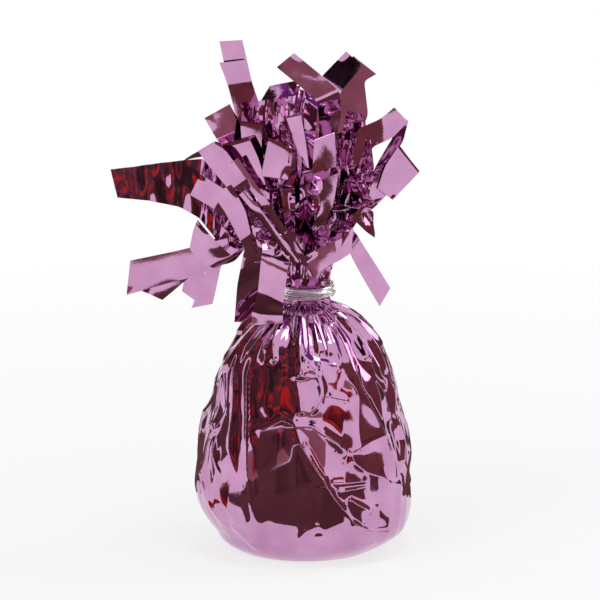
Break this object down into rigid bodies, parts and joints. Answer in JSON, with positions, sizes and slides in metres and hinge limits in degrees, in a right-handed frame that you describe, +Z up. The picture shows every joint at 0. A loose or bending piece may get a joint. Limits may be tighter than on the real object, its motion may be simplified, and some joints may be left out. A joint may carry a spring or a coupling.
{
  "type": "balloon weight",
  "caption": "Free-standing balloon weight: a sand sachet wrapped in shiny foil, gathered and tied at the neck, with the foil's edge slit into a spreading fringe.",
  "frame": {"origin": "middle of the flat base, on the surface that the weight stands on", "axes": "+Z up through the neck, -Y towards the pictured front, +X to its right"},
  "size_m": [0.0835, 0.0753, 0.1394],
  "materials": {
    "foil": "pink metallised film",
    "strand": "clear elastic strand",
    "sachet": "clear polythene",
    "sand": "dry sand"
  },
  "bodies": {
    "root": {"sand_fill": "sand", "inner_bag": "sachet", "foil_wrap": "foil", "neck_band": "strand", "outer_strip_01": "foil", "outer_strip_13": "foil", "outer_strip_14": "foil", "outer_strip_17": "foil", "inner_strip_01": "foil", "inner_strip_02": "foil", "inner_strip_03": "foil", "inner_strip_04": "foil", "inner_strip_05": "foil", "inner_strip_06": "foil", "inner_strip_07": "foil", "inner_strip_08": "foil", "inner_strip_09": "foil", "crown_strip_01": "foil", "crown_strip_02": "foil", "crown_strip_03": "foil", "crown_strip_04": "foil", "crown_strip_05": "foil", "crown_strip_06": "foil", "crown_strip_07": "foil", "crown_strip_08": "foil", "crown_strip_09": "foil"},
    "outer_flap_02": {"outer_strip_02": "foil"},
    "outer_flap_03": {"outer_strip_03": "foil"},
    "outer_flap_04": {"outer_strip_04": "foil"},
    "outer_flap_05": {"outer_strip_05": "foil"},
    "outer_flap_06": {"outer_strip_06": "foil"},
    "outer_flap_07": {"outer_strip_07": "foil"},
    "outer_flap_08": {"outer_strip_08": "foil"},
    "outer_flap_09": {"outer_strip_09": "foil"},
    "outer_flap_10": {"outer_strip_10": "foil"},
    "outer_flap_11": {"outer_strip_11": "foil"},
    "outer_flap_12": {"outer_strip_12": "foil"},
    "outer_flap_15": {"outer_strip_15": "foil"},
    "outer_flap_16": {"outer_strip_16": "foil"},
    "outer_flap_18": {"outer_strip_18": "foil"}
  },
  "joints": [
    {"name": "root_crease_02", "type": "hinge", "parent": "root", "child": "outer_flap_02", "pos_m": [0.0125, 0.00455, 0.08869], "axis": [-0.8376, 0.3331, 0.433], "range_deg": [-8, 20], "stiffness_Nm_per_rad": 0.001},
    {"name": "root_crease_03", "type": "hinge", "parent": "root", "child": "outer_flap_03", "pos_m": [0.01019, 0.00855, 0.08854], "axis": [-0.6495, 0.6817, 0.3368], "range_deg": [-15, 20], "stiffness_Nm_per_rad": 0.001},
    {"name": "root_crease_04", "type": "hinge", "parent": "root", "child": "outer_flap_04", "pos_m": [0.00665, 0.01152, 0.08845], "axis": [-0.9382, 0.203, 0.2802], "range_deg": [-12, 10], "stiffness_Nm_per_rad": 0.001},
    {"name": "root_crease_05", "type": "hinge", "parent": "root", "child": "outer_flap_05", "pos_m": [0.00231, 0.0131, 0.08828], "axis": [-0.974, 0.1472, 0.172], "range_deg": [-5, 15], "stiffness_Nm_per_rad": 0.001},
    {"name": "root_crease_06", "type": "hinge", "parent": "root", "child": "outer_flap_06", "pos_m": [-0.00231, 0.0131, 0.08844], "axis": [-0.9603, 0.0348, -0.2767], "range_deg": [-10, 10], "stiffness_Nm_per_rad": 0.001},
    {"name": "root_crease_07", "type": "hinge", "parent": "root", "child": "outer_flap_07", "pos_m": [-0.00665, 0.01152, 0.08841], "axis": [-0.85, -0.4595, 0.2574], "range_deg": [-20, 12], "stiffness_Nm_per_rad": 0.001},
    {"name": "root_crease_08", "type": "hinge", "parent": "root", "child": "outer_flap_08", "pos_m": [-0.01019, 0.00855, 0.08928], "axis": [-0.6032, -0.0103, 0.7975], "range_deg": [-20, 4], "stiffness_Nm_per_rad": 0.001},
    {"name": "root_crease_09", "type": "hinge", "parent": "root", "child": "outer_flap_09", "pos_m": [-0.0125, 0.00455, 0.088], "axis": [-0.342, -0.9397, 0], "range_deg": [-10, 8], "stiffness_Nm_per_rad": 0.001},
    {"name": "root_crease_10", "type": "hinge", "parent": "root", "child": "outer_flap_10", "pos_m": [-0.0133, 0, 0.08942], "axis": [0.4128, 0.2031, 0.8879], "range_deg": [-20, 20], "stiffness_Nm_per_rad": 0.001},
    {"name": "root_crease_11", "type": "hinge", "parent": "root", "child": "outer_flap_11", "pos_m": [-0.0125, -0.00455, 0.08943], "axis": [-0.3027, -0.3314, 0.8936], "range_deg": [-20, 20], "stiffness_Nm_per_rad": 0.001},
    {"name": "root_crease_12", "type": "hinge", "parent": "root", "child": "outer_flap_12", "pos_m": [-0.01019, -0.00855, 0.08901], "axis": [0.7732, -0.0826, 0.6288], "range_deg": [-15, 20], "stiffness_Nm_per_rad": 0.001},
    {"name": "root_crease_15", "type": "hinge", "parent": "root", "child": "outer_flap_15", "pos_m": [0.00231, -0.0131, 0.08835], "axis": [0.9551, 0.1986, -0.2198], "range_deg": [-15, 4], "stiffness_Nm_per_rad": 0.001},
    {"name": "root_crease_16", "type": "hinge", "parent": "root", "child": "outer_flap_16", "pos_m": [0.00665, -0.01152, 0.08835], "axis": [0.5253, 0.8222, 0.2192], "range_deg": [-3, 15], "stiffness_Nm_per_rad": 0.001},
    {"name": "root_crease_18", "type": "hinge", "parent": "root", "child": "outer_flap_18", "pos_m": [0.0125, -0.00455, 0.08869], "axis": [0.8123, 0.3908, 0.433], "range_deg": [-25, 15], "stiffness_Nm_per_rad": 0.001}
  ]
}
